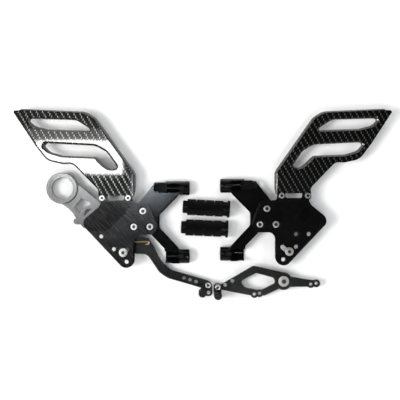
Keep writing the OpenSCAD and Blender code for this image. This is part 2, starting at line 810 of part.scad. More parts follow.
shift_outer = [
    [-104, -11, 3], [-45.5, 23.4, 6], [0, 13.2, 0], [0, -8, 0], [-28, -21.6, 5], [-51, -21.3, 3]
];
shift_opening = [
    [-66, -0.6, 5], [-41.5, 12.4, 4], [-14.5, 5, 5], [-12.5, -3, 4], [-35, -14, 5], [-58, -9.6, 6]
];
shift_arm = [[0, 8.6, 0], [40, 1.8, 3], [52, 1, 3], [52, -8.5, 3], [0, -8.5, 0]];

module shift_lever() {
    color(black) on_lever() difference() {
        union() {
            difference() {
                union() {
                    prism(shift_outer, shift_lever_z, shift_lever_t);
                    prism(shift_arm, shift_lever_z, shift_lever_t);
                    drill(lever_end, 4.8, shift_lever_z, shift_top);
                }
                prism(shift_opening, shift_lever_z - 1, shift_lever_t + 2);
                translate([-51, 13.6, shift_top])
                    rotate([0, 0, 29])
                        rotate([0, -3.6, 0])
                            translate([-80, -8.2, 0])
                                cube([80, 30, 8]);
            }
            for (p = rod_lobes) drill(p, lobe_r, shift_lever_z, shift_top - 1);
            drill([0, 0], shift_boss_r, shift_boss_z, shift_boss_top - 1);
            translate([0, 0, shift_boss_top - 1]) cylinder(h = 1, r1 = shift_boss_r, r2 = shift_boss_r - 1);
        }
        drill([0, 0], shift_bush_r + pivot_play, shift_boss_z - 1, shift_boss_top + 1);
        for (p = rod_lobes) drill(p, rod_hole_r, shift_lever_z - 1, shift_top + 1);
        for (p = [lever_end, [-88, -5.9], [-77, 0]])
            drill(p, toe_bolt_r + hole_play, shift_lever_z - 1, shift_top + 1);
    }
}

module shift_pivot_collar() {
    play = 0.3;
    color(steel) on_lever() difference() {
        union() {
            drill([0, 0], shift_bush_r, shift_boss_z, shift_boss_top + play);
            drill([0, 0], collar_r, shift_boss_top + play, shift_boss_top + play + 1.6);
        }
        drill([0, 0], shift_bolt_r + hole_play, shift_boss_z - 1, shift_boss_top + 4);
    }
}

module shift_pivot_bolt() {
    seat = shift_boss_top + 0.3 + 1.6;
    color(steel) on_lever() translate([0, 0, seat])
        cap_bolt(shift_bolt_r, 1.45 * shift_bolt_r, 1.1 * shift_bolt_r, seat);
}

module shift_pivot_nut() {
    color(steel) on_lever() hex_nut(shift_bolt_r + thread_play, 1.87 * shift_bolt_r, pivot_nut_t);
}

toe_link_z = shift_lever_z - toe_link_t;

module shift_toe_link() {
    color(black) on_lever() toe_link([lever_end, shift_toe], toe_link_z);
}

module shift_toe_peg() {
    color(black) on_lever() translate(shift_toe) difference() {
        toe_peg(shift_lever_z);
        drill([0, 0], toe_bolt_r + thread_play, toe_link_z, shift_lever_z + 12);
    }
}

module shift_toe_bolts() {
    color(steel) on_lever() {
        translate([lever_end[0], lever_end[1], shift_top])
            cap_bolt(toe_bolt_r, 1.7 * toe_bolt_r, 1.5 * toe_bolt_r, shift_lever_t + toe_link_t);
        translate([shift_toe[0], shift_toe[1], toe_link_z])
            mirror([0, 0, 1]) cap_bolt(toe_bolt_r, 1.7 * toe_bolt_r, toe_link_z, toe_link_t + 10);
    }
}

// Footpegs

band_pitch = band_len + 1.2;
knurl_len = bands * band_pitch;
shoulder_len = 7;
waist_len = 4.5;
flange_len = 4.6;
peg_len = shoulder_len + knurl_len + waist_len + flange_len;
ridge = 1.8;
ridges = floor(band_len / ridge);

// Radius profile of one knurled band: ridges side by side, then the narrow groove
function band_profile(x) = concat(
    [[peg_r - knurl_depth, x]],
    [for (i = [0 : ridges - 1]) each [
        [peg_r, x + (i + 0.35) * band_len / ridges],
        [peg_r, x + (i + 0.65) * band_len / ridges],
        [peg_r - knurl_depth, x + (i + 1) * band_len / ridges]
    ]],
    [[peg_r - 1.6, x + band_len + 0.2], [peg_r - 1.6, x + band_pitch - 0.2]]
);

module footpeg() {
    x1 = shoulder_len + knurl_len;
    translate([-peg_len / 2, 0, peg_flange_r]) difference() {
        rotate([0, 90, 0]) rotate_extrude() polygon(concat(
            [[0, 0], [8.8, 0], [9.6, 0.8], [9.6, shoulder_len], [peg_r - knurl_depth, shoulder_len]],
            [for (i = [0 : bands - 1]) each band_profile(shoulder_len + i * band_pitch)],
            [[10.8, x1], [10.8, x1 + waist_len], [peg_flange_r, x1 + waist_len + 0.8],
                [peg_flange_r, peg_len - 1], [peg_flange_r - 1, peg_len], [0, peg_len]]
        ));
        translate([-1, 0, 0]) rotate([0, 90, 0]) cylinder(h = 25, r = peg_hole_r);
        translate([3.6, 0, 0]) cylinder(h = 20, r = 1.8);
    }
}

module place_peg(row) {
    translate([middle_x + 0.8 + 1.3 * row, shift_y + boss_middle_y + peg_lift + row * peg_rows / 2, 0])
        rotate([0, 0, row > 0 ? -3.1 : -2.4])
            children();
}

module peg_set_screw() {
    translate([-peg_len / 2 + 3.6, 0, peg_flange_r]) difference() {
        drill([0, 0], 1.75, 5, 9.3);
        drill([0, 0], 0.9, 8, 12, $fn = 6);
    }
}

// Both sides share their shapes: each piece is set on its own side
module brake_frame_bracket() {
    color(black) on_brake_side() frame_bracket();
}

module brake_peg_plate() {
    color(black) on_brake_side() peg_plate(true);
}

module brake_bracket_bolts() {
    color(steel) on_brake_side() bracket_bolts();
}

module brake_heel_guard() {
    color(carbon) on_brake_side() heel_guard(brake_guard_size);
}

module brake_guard_bolts() {
    color(steel) on_brake_side() guard_bolts();
}

module brake_stop_bolt() {
    color(steel) on_brake_side() stop_bolt(brake_stop_angle);
}

module brake_stop_washer() {
    color(steel) on_brake_side() stop_washer(brake_stop_angle);
}

module brake_stop_sleeve() {
    color(steel) on_brake_side() stop_sleeve(brake_stop_angle);
}

module brake_stop_nut() {
    color(steel) on_brake_side() stop_nut(brake_stop_angle);
}

module shift_frame_bracket() {
    color(black) on_shift_side() frame_bracket();
}

module shift_peg_plate() {
    color(black) on_shift_side() peg_plate(false);
}

module shift_bracket_bolts() {
    color(steel) on_shift_side() bracket_bolts();
}

module shift_heel_guard() {
    color(carbon) on_shift_side() heel_guard(shift_guard_size);
}

module shift_guard_bolts() {
    color(steel) on_shift_side() guard_bolts();
}

module shift_stop_bolt() {
    color(steel) on_shift_side() stop_bolt(shift_stop_angle);
}

module shift_stop_washer() {
    color(steel) on_shift_side() stop_washer(shift_stop_angle);
}

module shift_stop_sleeve() {
    color(steel) on_shift_side() stop_sleeve(shift_stop_angle);
}

module shift_stop_nut() {
    color(steel) on_shift_side() stop_nut(shift_stop_angle);
}

module footpeg_upper() {
    color(dark_grey) place_peg(1) footpeg();
}

module footpeg_lower() {
    color(dark_grey) place_peg(-1) footpeg();
}

module footpeg_set_screws() {
    color(steel) {
        place_peg(1) peg_set_screw();
        place_peg(-1) peg_set_screw();
    }
}

brake_frame_bracket();
brake_peg_plate();
brake_bracket_bolts();
brake_heel_guard();
brake_guard_bolts();
brake_stop_bolt();
brake_stop_washer();
brake_stop_sleeve();
brake_stop_nut();
silencer_hanger();
hanger_bolts();
brake_lever();
brake_pivot_bolt();
brake_pivot_bush();
brake_return_spring();
brake_toe_link();
brake_toe_peg();
brake_toe_bolts();
shift_frame_bracket();
shift_peg_plate();
shift_bracket_bolts();
shift_heel_guard();
shift_guard_bolts();
shift_stop_bolt();
shift_stop_washer();
shift_stop_sleeve();
shift_stop_nut();
shift_lever();
shift_pivot_bolt();
shift_pivot_collar();
shift_pivot_nut();
shift_toe_link();
shift_toe_peg();
shift_toe_bolts();
footpeg_upper();
footpeg_lower();
footpeg_set_screws();
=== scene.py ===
import math

import bmesh
import bpy
from mathutils import Matrix, Vector


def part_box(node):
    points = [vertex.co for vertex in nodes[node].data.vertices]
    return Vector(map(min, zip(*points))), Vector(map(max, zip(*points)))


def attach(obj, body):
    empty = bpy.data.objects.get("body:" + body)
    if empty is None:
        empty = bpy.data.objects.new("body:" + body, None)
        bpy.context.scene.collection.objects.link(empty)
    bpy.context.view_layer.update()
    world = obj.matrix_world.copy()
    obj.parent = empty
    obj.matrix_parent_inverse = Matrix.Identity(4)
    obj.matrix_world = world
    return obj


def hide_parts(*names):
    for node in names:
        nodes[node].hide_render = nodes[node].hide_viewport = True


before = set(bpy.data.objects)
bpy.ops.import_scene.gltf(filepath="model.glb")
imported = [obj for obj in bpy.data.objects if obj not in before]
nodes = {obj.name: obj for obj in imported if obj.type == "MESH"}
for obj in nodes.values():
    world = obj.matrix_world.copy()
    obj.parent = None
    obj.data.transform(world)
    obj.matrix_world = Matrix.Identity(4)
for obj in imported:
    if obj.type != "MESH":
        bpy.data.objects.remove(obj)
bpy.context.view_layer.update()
mm = 0.001
print("frame loaded:", len(nodes), "nodes")


# shader helpers: one socket wrapper for the maths, one method for every other node

class Sock:
    def __init__(self, finish, socket):
        self.finish = finish
        self.socket = socket

    def __add__(self, other):
        return self.finish.maths("ADD", self, other)

    def __radd__(self, other):
        return self.finish.maths("ADD", other, self)

    def __sub__(self, other):
        return self.finish.maths("SUBTRACT", self, other)

    def __rsub__(self, other):
        return self.finish.maths("SUBTRACT", other, self)

    def __mul__(self, other):
        return self.finish.maths("MULTIPLY", self, other)

    def __rmul__(self, other):
        return self.finish.maths("MULTIPLY", other, self)


class Finish:
    def __init__(self, name, **plain):
        self.material = bpy.data.materials.new(name)
        self.material.use_nodes = True
        self.tree = self.material.node_tree
        self.tree.nodes.clear()
        output = self.tree.nodes.new("ShaderNodeOutputMaterial")
        self.shader = self.tree.nodes.new("ShaderNodeBsdfPrincipled")
        self.tree.links.new(self.shader.outputs[0], output.inputs[0])
        self.finishWith(**plain)
        self.place = self.node("ShaderNodeTexCoord", out="Object")

    def node(self, kind, settings=None, values=None, out=0):
        made = self.tree.nodes.new(kind)
        for key, value in (settings or {}).items():
            setattr(made, key, value)
        for key, value in (values or {}).items():
            self.feed(made.inputs[key], value)
        return Sock(self, made.outputs[out])

    def feed(self, socket, value):
        if isinstance(value, Sock):
            self.tree.links.new(value.socket, socket)
        else:
            socket.default_value = value

    def maths(self, operation, a, b=0.0):
        return self.node("ShaderNodeMath", {"operation": operation}, {0: a, 1: b})

    def clamped(self, value):
        return self.node("ShaderNodeMath", {"operation": "MULTIPLY", "use_clamp": True},
                         {0: value, 1: 1.0})

    def noise(self, scale, detail=2, stretch=(1, 1, 1), turn=0.0):
        # a mapping of type texture turns first and stretches after, so streaks follow the turn
        spot = self.node("ShaderNodeMapping", {"vector_type": "TEXTURE"}, {
            "Vector": self.place, "Rotation": (0, 0, math.radians(turn)),
            "Scale": tuple(1.0 / s for s in stretch)})
        return self.node("ShaderNodeTexNoise", None, {
            "Vector": spot, "Scale": scale, "Detail": detail})

    def mix(self, share, a, b):
        # a Mix node's colours are its inputs 6 and 7 and its output 2
        return self.node("ShaderNodeMix", {"data_type": "RGBA"}, {0: share, 6: a, 7: b}, out=2)

    def attribute(self, name):
        return self.node("ShaderNodeAttribute", {"attribute_name": name}, out="Fac")

    def bump(self, height, depth, strength=1.0):
        return self.node("ShaderNodeBump", None, {
            "Height": height, "Distance": depth, "Strength": strength})

    def finishWith(self, **sockets):
        for socket, value in sockets.items():
            self.feed(self.shader.inputs[socket.replace("_", " ")], value)
        return self.material


def grey(level, tint=(1, 1, 1)):
    return (level * tint[0], level * tint[1], level * tint[2], 1)


def hump(share):
    # 0 at either end of a tow and 1 at its middle
    return 4.0 * share * (1.0 - share)


# camera straight above, with the photograph's framing; middle and height in mm

camera = {"middle": (-3.945, 6.2), "height": 1425, "lens": 84, "sensor": 36}

cameraData = bpy.data.cameras.new("camera")
cameraData.lens = camera["lens"]
cameraData.sensor_width = camera["sensor"]
cameraObject = bpy.data.objects.new("camera", cameraData)
cameraObject.location = (camera["middle"][0] * mm, camera["middle"][1] * mm, camera["height"] * mm)
bpy.context.scene.collection.objects.link(cameraObject)
bpy.context.scene.camera = cameraObject


# studio: pale floor, panels over the left side, a wide key light from the left, three fills that
# show in no reflection, bright walls and a dark ceiling

studio = {
    # how bright the room is, by height: 0 is level with the floor, 1 straight above
    "room": [(0.0, 0.62), (0.42, 0.62), (0.70, 0.05), (1.0, 0.03)],
    # panels face straight down: place and size in metres, watts, tint
    "panels": {
        "leftSoftbox": ((-0.378, 0.138, 1.52), (0.27, 0.104), 2.5, (1, 1, 1)),
        "upperPanel": ((-0.385, 0.208, 1.52), (0.33, 0.036), 0.075, (1, 1, 1)),
        "lowerPanel": ((-0.348, -0.032, 1.52), (0.145, 0.087), 0.12, (1, 1, 1)),
        "middlePanel": ((-0.140, 0.090, 1.52), (0.14, 0.17), 0.4, (0.86, 0.94, 1.0)),
        "armPanel": ((-0.172, 0.050, 1.52), (0.08, 0.07), 0.35, (0.78, 0.9, 1.0)),
    },
    "nudge": 0.0001,    # a panel's aim is this far off plumb, so that its sides lie along the axes
    # the others face their target: place, target, size, watts, tint, seen in reflections
    "lights": {
        "lowStrip": ((0.16, -0.50, 1.5), (0.1, 0, 0), (0.12, 0.03), 2.4, (0.95, 0.98, 1.0), True),
        "keyLight": ((-1.3, -0.25, 1.9), (0, 0, 0), (0.8, 0.8), 37.0, (1.0, 0.99, 0.97), True),
        "rightFill": ((1.4, 0.3, 1.9), (0, 0, 0), (0.8, 0.8), 9.0, (0.97, 0.98, 1.0), False),
        "topFill": ((0.2, 1.4, 1.9), (0, 0, 0), (0.8, 0.8), 8.0, (1, 1, 1), False),
        "frontFill": ((-0.2, -1.4, 1.9), (0, 0, 0), (0.8, 0.8), 9.0, (1, 1, 1), False),
    },
}


def areaLight(name, place, target, size, watts, tint, mirrored):
    data = bpy.data.lights.new(name, "AREA")
    data.shape = "RECTANGLE"
    data.size, data.size_y = size
    data.energy = watts
    data.color = tint
    lamp = bpy.data.objects.new(name, data)
    lamp.location = place
    lamp.rotation_mode = "QUATERNION"
    lamp.rotation_quaternion = (Vector(place) - Vector(target)).to_track_quat("Z", "Y")
    lamp.visible_glossy = mirrored
    bpy.context.scene.collection.objects.link(lamp)


for name, (place, size, watts, tint) in studio["panels"].items():
    areaLight(name, place, (place[0], place[1] + studio["nudge"], 0), size, watts, tint, True)
for name, lamp in studio["lights"].items():
    areaLight(name, *lamp)

world = bpy.data.worlds.new("room")
world.use_nodes = True
air = world.node_tree
background = air.nodes["Background"]
background.inputs["Color"].default_value = (1, 1, 1, 1)
direction = air.nodes.new("ShaderNodeTexCoord")
height = air.nodes.new("ShaderNodeSeparateXYZ")
room = air.nodes.new("ShaderNodeFloatCurve")
roomLine = room.mapping.curves[0]
for spot, point in zip(studio["room"][:1] + studio["room"][-1:], roomLine.points):
    point.location = spot
for at, level in studio["room"][1:-1]:
    roomLine.points.new(at, level)
for point in roomLine.points:
    point.handle_type = "VECTOR"
room.mapping.update()
air.links.new(direction.outputs["Generated"], height.inputs[0])
air.links.new(height.outputs["Z"], room.inputs["Value"])
air.links.new(room.outputs[0], background.inputs["Strength"])
bpy.context.scene.world = world
bpy.context.scene.view_settings.view_transform = "Standard"
bpy.context.scene.view_settings.look = "None"

floorPaper = {"half": 12.0, "shade": 0.93, "mottle": 0.015, "cloudScale": 9, "grainScale": 900,
              "grainDepth": 0.00002, "rough": 0.75}

bm = bmesh.new()
bmesh.ops.create_grid(bm, x_segments=1, y_segments=1, size=floorPaper["half"])
floorMesh = bpy.data.meshes.new("floor")
bm.to_mesh(floorMesh)
bm.free()
floorObject = bpy.data.objects.new("floor", floorMesh)
bpy.context.scene.collection.objects.link(floorObject)
paper = Finish("palePaper", Roughness=floorPaper["rough"])
floorMesh.materials.append(paper.finishWith(
    Base_Color=paper.mix(paper.noise(floorPaper["cloudScale"], detail=3),
                         grey(floorPaper["shade"]),
                         grey(floorPaper["shade"] - floorPaper["mottle"])),
    Normal=paper.bump(paper.noise(floorPaper["grainScale"]), floorPaper["grainDepth"])))
print("camera, lights and floor ready")


# anodised aluminium: soft clouds, brush lines, pale lines of painted sheen along the brush lines,
# bare metal along worn edges, which on the footpeg knurl is a painted glint

anodising = {
    "cloudScale": 35, "grainScale": 2600, "brushScale": 55, "brushStretch": (1, 26, 1),
    "darkTint": (1, 1, 1.04), "lightTint": (1, 1, 1.06),
    "sheenFrom": 0.52, "sheenGain": 6.0, "sheenGrey": 0.08, "sheenTint": (1, 1, 1.02),
    "wornAndGlintGrey": 0.45, "cloudRough": 0.10, "brushRough": 0.16, "edgeGloss": 0.08,
    "brushBump": 0.8, "grainBump": 0.2,
    # dark and light level, roughness, the brush lines' turn, gloss, the share of worn edges and
    # painted glint, and where they differ the brush lines' depth and the share of painted sheen
    "looks": {
        "blackBracket": (0.001, 0.003, 0.12, 20, 0.26, 0.06),
        # the brake plate is painted lighter and with more painted sheen, the shift plate darker: a
        # lighter and a shaded copy of one black anodising
        "blackPlate": (0.0015, 0.004, 0.18, -45, 0.28, 0.05, 0.00003, 0.25),
        "shadedPlate": (0.001, 0.003, 0.18, -45, 0.2, 0.05, 0.00002, 0.02),
        "blackLever": (0.003, 0.007, 0.2, 70, 0.4, 0.06),
        "hangerGrey": (0.05, 0.08, 0.20, 40, 0.9, 0.12),
        "pegBlack": (0.001, 0.002, 0.22, 0, 0.2, 0.006),
        "toeBlack": (0.002, 0.005, 0.20, 90, 0.4, 0.04),
        "pocketBlack": (0.001, 0.003, 0.40, 0, 0.08, 0.02),
    },
}


def anodised(name, dark, light, rough, turn, specular, wearAndGlint, brushDepth=0.00001, sheenShare=0.0):
    a = anodising
    metal = Finish(name, Specular_IOR_Level=specular)
    cloud = metal.noise(a["cloudScale"], detail=3)
    grain = metal.noise(a["grainScale"])
    brush = metal.noise(a["brushScale"], detail=3, stretch=a["brushStretch"], turn=turn)
    edge = metal.attribute("edge")
    # painted sheen: pale lines along the brush lines stand in for the light that they reflect
    paintedSheen = metal.clamped((brush - a["sheenFrom"]) * a["sheenGain"])
    base = metal.mix(cloud, grey(dark, a["darkTint"]), grey(light, a["lightTint"]))
    base = metal.mix(paintedSheen * sheenShare, base, grey(a["sheenGrey"], a["sheenTint"]))
    # bare grey along the marked faces: worn edges, and on the footpeg knurl a painted glint
    base = metal.mix(edge * wearAndGlint * (0.5 + cloud), base, grey(a["wornAndGlintGrey"]))
    return metal.finishWith(
        Base_Color=base,
        Roughness=(rough + a["cloudRough"] * (cloud - 0.5) + a["brushRough"] * (brush - 0.5)
                   - a["edgeGloss"] * edge),
        Normal=metal.bump(brush * a["brushBump"] + grain * a["grainBump"], brushDepth))


# bare metal: a cloudy shade with fine grain, brighter edges, and painted shade that blackens the
# bolt sockets

bareMetal = {
    "cloudScale": 160, "grainScale": 3000, "darker": 0.08, "lighter": 0.06,
    "edgeShare": 0.4, "edgeGrey": 0.95, "socketShadeShare": 0.94, "socketShadeGrey": 0.01,
    "cloudRough": 0.14, "grainRough": 0.06, "grainDepth": 0.000006,
    # shade, roughness, tint
    "looks": {
        "boltSteel": (0.54, 0.32, (1, 0.985, 0.95)),
        "springGold": (0.85, 0.42, (1.0, 0.78, 0.46)),
        "bushBronze": (0.55, 0.35, (1.0, 0.72, 0.42)),
    },
}


def bareMetalFinish(name, shade, rough, tint):
    b = bareMetal
    metal = Finish(name, Metallic=1.0)
    cloud = metal.noise(b["cloudScale"], detail=3)
    grain = metal.noise(b["grainScale"])
    base = metal.mix(cloud, grey(shade - b["darker"], tint), grey(shade + b["lighter"], tint))
    base = metal.mix(metal.attribute("edge") * b["edgeShare"], base, grey(b["edgeGrey"], tint))
    # painted shade: the marked socket faces are painted near black
    base = metal.mix(metal.attribute("socket") * b["socketShadeShare"], base, grey(b["socketShadeGrey"]))
    return metal.finishWith(
        Base_Color=base,
        Roughness=rough + b["cloudRough"] * (cloud - 0.5) + b["grainRough"] * (grain - 0.5),
        Normal=metal.bump(grain, b["grainDepth"]))


# carbon twill under lacquer: every fourth tow lies on top, one tow further in each row, and the
# tows are painted lighter towards their crowns, those on top most, as a painted sheen;
# the bent lip's faces that look outwards carry a painted grey sheen, and a cut edge is black and
# carries no lacquer

twill = {
    "tow": 2.25, "floatLength": 3.9, "every": 4.0, "dark": 0.001, "weft": 0.012,
    "darkTint": (1, 1, 0.97), "lightTint": (1, 0.99, 0.94),
    "fibreScale": 900, "fibreStretch": (5, 0.4, 1), "cloudScale": 28,
    "fibreShine": 0.8, "cloudShine": 0.7, "leastShine": 0.7,
    "lipSheenGrey": 0.15, "lipSheenTint": (1, 0.99, 0.96), "lipSheenShare": 0.55, "lipSheenCloud": 0.25,
    "cutGrey": 0.001, "cutRough": 0.25, "cutCoatLoss": 0.97,
    "rough": 0.30, "topGloss": 0.06, "fibreRough": 0.10, "metal": 0.35, "topMetal": 0.25,
    "weftBump": 0.5, "fibreBump": 0.25, "bumpDepth": 0.00007, "bumpStrength": 0.8,
    "specular": 0.12, "coatRough": 0.035, "coatIor": 1.5,
    # how light the painted sheen on the tows on top is; the brake guard is painted lighter than the
    # shift guard, a lighter and a shaded copy of one carbon
    "looks": {"brakeCarbon": 0.17, "shiftCarbon": 0.12},
}


def carbonFinish(name, light):
    t = twill
    carbon = Finish(name, Specular_IOR_Level=t["specular"], Coat_Weight=1.0,
                    Coat_Roughness=t["coatRough"], Coat_IOR=t["coatIor"])
    tow, floatLength = t["tow"] * mm, t["floatLength"] * mm
    spot = carbon.node("ShaderNodeMapping", None, {
        "Vector": carbon.place, "Scale": (1 / tow, 1 / floatLength, 1 / tow)})
    x = carbon.node("ShaderNodeSeparateXYZ", None, {0: spot}, out="X")
    y = Sock(carbon, x.socket.node.outputs["Y"])
    column = carbon.maths("FLOOR", x)
    row = carbon.maths("FLOOR", y)
    step = carbon.maths("FLOORED_MODULO", column + row, t["every"])
    onTop = carbon.maths("LESS_THAN", step, 0.5)
    bow = carbon.maths("SQRT", carbon.clamped(hump(y - row)))
    # painted sheen: the tows on top are painted lighter towards their crowns; the same crowns also
    # raise the bump
    lit = onTop * hump(x - column) * bow
    weft = (1.0 - onTop) * hump(carbon.maths("FRACT", y * 2.0))
    fibre = carbon.noise(t["fibreScale"], stretch=t["fibreStretch"])
    cloud = carbon.noise(t["cloudScale"])
    lip = carbon.attribute("lip")
    cut = carbon.attribute("edge")
    shine = (lit + t["weft"] * weft) * (
        t["leastShine"] + t["fibreShine"] * fibre + t["cloudShine"] * (cloud - 0.5))
    base = carbon.mix(carbon.clamped(shine), grey(t["dark"], t["darkTint"]),
                      grey(light, t["lightTint"]))
    # painted sheen: the lip's faces that look outwards are painted grey
    base = carbon.mix(lip * (t["lipSheenShare"] + t["lipSheenCloud"] * cloud), base,
                      grey(t["lipSheenGrey"], t["lipSheenTint"]))
    return carbon.finishWith(
        Base_Color=carbon.mix(cut, base, grey(t["cutGrey"])),
        Coat_Weight=1.0 - t["cutCoatLoss"] * cut,
        Roughness=(t["rough"] - t["topGloss"] * onTop + t["fibreRough"] * (fibre - 0.5)
                   + t["cutRough"] * cut),
        Metallic=(t["metal"] + t["topMetal"] * onTop) * (1.0 - cut),
        Normal=carbon.bump(lit + t["weftBump"] * weft + t["fibreBump"] * fibre,
                           t["bumpDepth"], t["bumpStrength"]))


finishes = {}
for name, look in anodising["looks"].items():
    finishes[name] = anodised(name, *look)
for name, look in bareMetal["looks"].items():
    finishes[name] = bareMetalFinish(name, *look)
for name, light in twill["looks"].items():
    finishes[name] = carbonFinish(name, light)

# the record's slot that each finish belongs to
slotOf = {
    "blackBracket": "black_anodised", "blackPlate": "black_anodised", "shadedPlate": "black_anodised",
    "blackLever": "black_anodised", "toeBlack": "black_anodised", "pocketBlack": "black_anodised",
    "hangerGrey": "hanger_grey", "pegBlack": "peg_black", "boltSteel": "bolt_steel",
    "springGold": "spring_gold", "bushBronze": "bronze",
    "brakeCarbon": "carbon", "shiftCarbon": "carbon",
}
print("finishes ready")


# pieces; from here on lengths in the dictionaries are in mm, and angles in degrees

shading = {"rounded": 34, "pocket": 30, "thread": 28, "knurl": 22, "flatWeight": 60}


def addPiece(name, bm, finish, body, shade, node=None):
    mesh = bpy.data.meshes.new(name)
    bm.to_mesh(mesh)
    bm.free()
    mesh.materials.append(finishes[finish])
    mesh.polygons.foreach_set("use_smooth", [True] * len(mesh.polygons))
    mesh.set_sharp_from_angle(angle=math.radians(shading[shade]))
    piece = bpy.data.objects.new(name, mesh)
    bpy.context.scene.collection.objects.link(piece)
    weigh = piece.modifiers.new("flatFacesStayFlat", "WEIGHTED_NORMAL")
    weigh.keep_sharp = True
    weigh.weight = shading["flatWeight"]
    if node:
        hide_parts(node)
    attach(piece, body)


# each CAD solid gets a merged copy whose sharp edges are rounded where the wall beside them is
# high enough; a guard is rounded only along its outer edge, above its foot
rounding = {
    "merge": 0.002, "mergeAfter": 0.001, "flatWithin": 0.6, "sharpFrom": 30, "segments": 2,
    "wallShare": 1.3, "guardTop": 28.4, "guardWall": 2.0, "guardFoot": 20.0, "guardSegments": 4,
}

# a guard's lip, painted with a grey sheen: how far its faces lean, and how far they look outwards
# on the brake side
lipSheenFaces = {"steepest": 0.2, "flattest": 0.97, "outward": (0.75, 0.66, 0), "looksOut": 0.25}

# a bolt's socket gets painted shade, near black, between these depths, out to this share of the
# head's radius
socketShade = {"from": 0.3, "to": 5.0, "share": 0.62}


def wallHeight(edge):
    return min(f.calc_area() for f in edge.link_faces) / edge.calc_length()


def isRounded(edge, radius, isGuard):
    r = rounding
    if len(edge.link_faces) != 2 or edge.calc_face_angle(0.0) <= math.radians(r["sharpFrom"]):
        return False
    if not isGuard:
        return wallHeight(edge) > r["wallShare"] * radius * mm
    return (min(v.co.z for v in edge.verts) > r["guardTop"] * mm
            and min(v.co.y for v in edge.verts) > r["guardFoot"] * mm
            and wallHeight(edge) > r["guardWall"] * mm)


def markLipSheen(bm, node, edgeMark):
    # marks the lip's faces that lean and look outwards, for a painted sheen
    mark = bm.faces.layers.float.new("lip")
    outward = Vector(lipSheenFaces["outward"])
    if node.startswith("shift"):
        outward.x = -outward.x
    for face in bm.faces:
        leans = lipSheenFaces["steepest"] < face.normal.z < lipSheenFaces["flattest"]
        if leans and face.normal.dot(outward) > lipSheenFaces["looksOut"] and not face[edgeMark]:
            face[mark] = 1.0


def shadeSockets(bm):
    # marks the faces inside each bolt's socket, for painted shade
    mark = bm.faces.layers.float.new("socket")
    waiting = set(bm.faces)
    while waiting:
        bolt = [waiting.pop()]    # grows to all the faces of one bolt
        for face in bolt:
            for near in (n for e in face.edges for n in e.link_faces):
                if near in waiting:
                    waiting.remove(near)
                    bolt.append(near)
        corners = [v.co for f in bolt for v in f.verts]
        low = [min(c[i] for c in corners) for i in range(3)]
        high = [max(c[i] for c in corners) for i in range(3)]
        reach = max(high[0] - low[0], high[1] - low[1]) / 2 * socketShade["share"]
        middle = Vector(((low[0] + high[0]) / 2, (low[1] + high[1]) / 2))
        floorZ = high[2] - socketShade["to"] * mm
        topZ = high[2] - socketShade["from"] * mm
        for face in bolt:
            spot = face.calc_center_median()
            if (spot.xy - middle).length < reach and floorZ < spot.z < topZ:
                face[mark] = 1.0


def roundedCopy(node, body, finish, radius):
    r = rounding
    isGuard = slotOf[finish] == "carbon"
    bm = bmesh.new()
    bm.from_mesh(nodes[node].data)
    bmesh.ops.remove_doubles(bm, verts=bm.verts[:], dist=r["merge"] * mm)
    bmesh.ops.dissolve_limit(bm, angle_limit=math.radians(r["flatWithin"]), verts=bm.verts[:],
                             edges=bm.edges[:])
    mark = bm.faces.layers.float.new("edge")
    sharp = [e for e in bm.edges if isRounded(e, radius, isGuard)]
    if radius > 0 and sharp:
        made = bmesh.ops.bevel(
            bm, geom=sharp, offset=radius * mm, offset_type="OFFSET", profile=0.5,
            segments=r["guardSegments"] if isGuard else r["segments"], affect="EDGES",
            clamp_overlap=not isGuard, material=-1, loop_slide=True)
        for face in made["faces"]:
            face[mark] = 1.0
    bmesh.ops.remove_doubles(bm, verts=bm.verts[:], dist=r["mergeAfter"] * mm)
    bm.normal_update()
    if isGuard:
        markLipSheen(bm, node, mark)
    if finish == "boltSteel":
        shadeSockets(bm)
    addPiece(node + "_finished", bm, finish, body, "rounded", node)


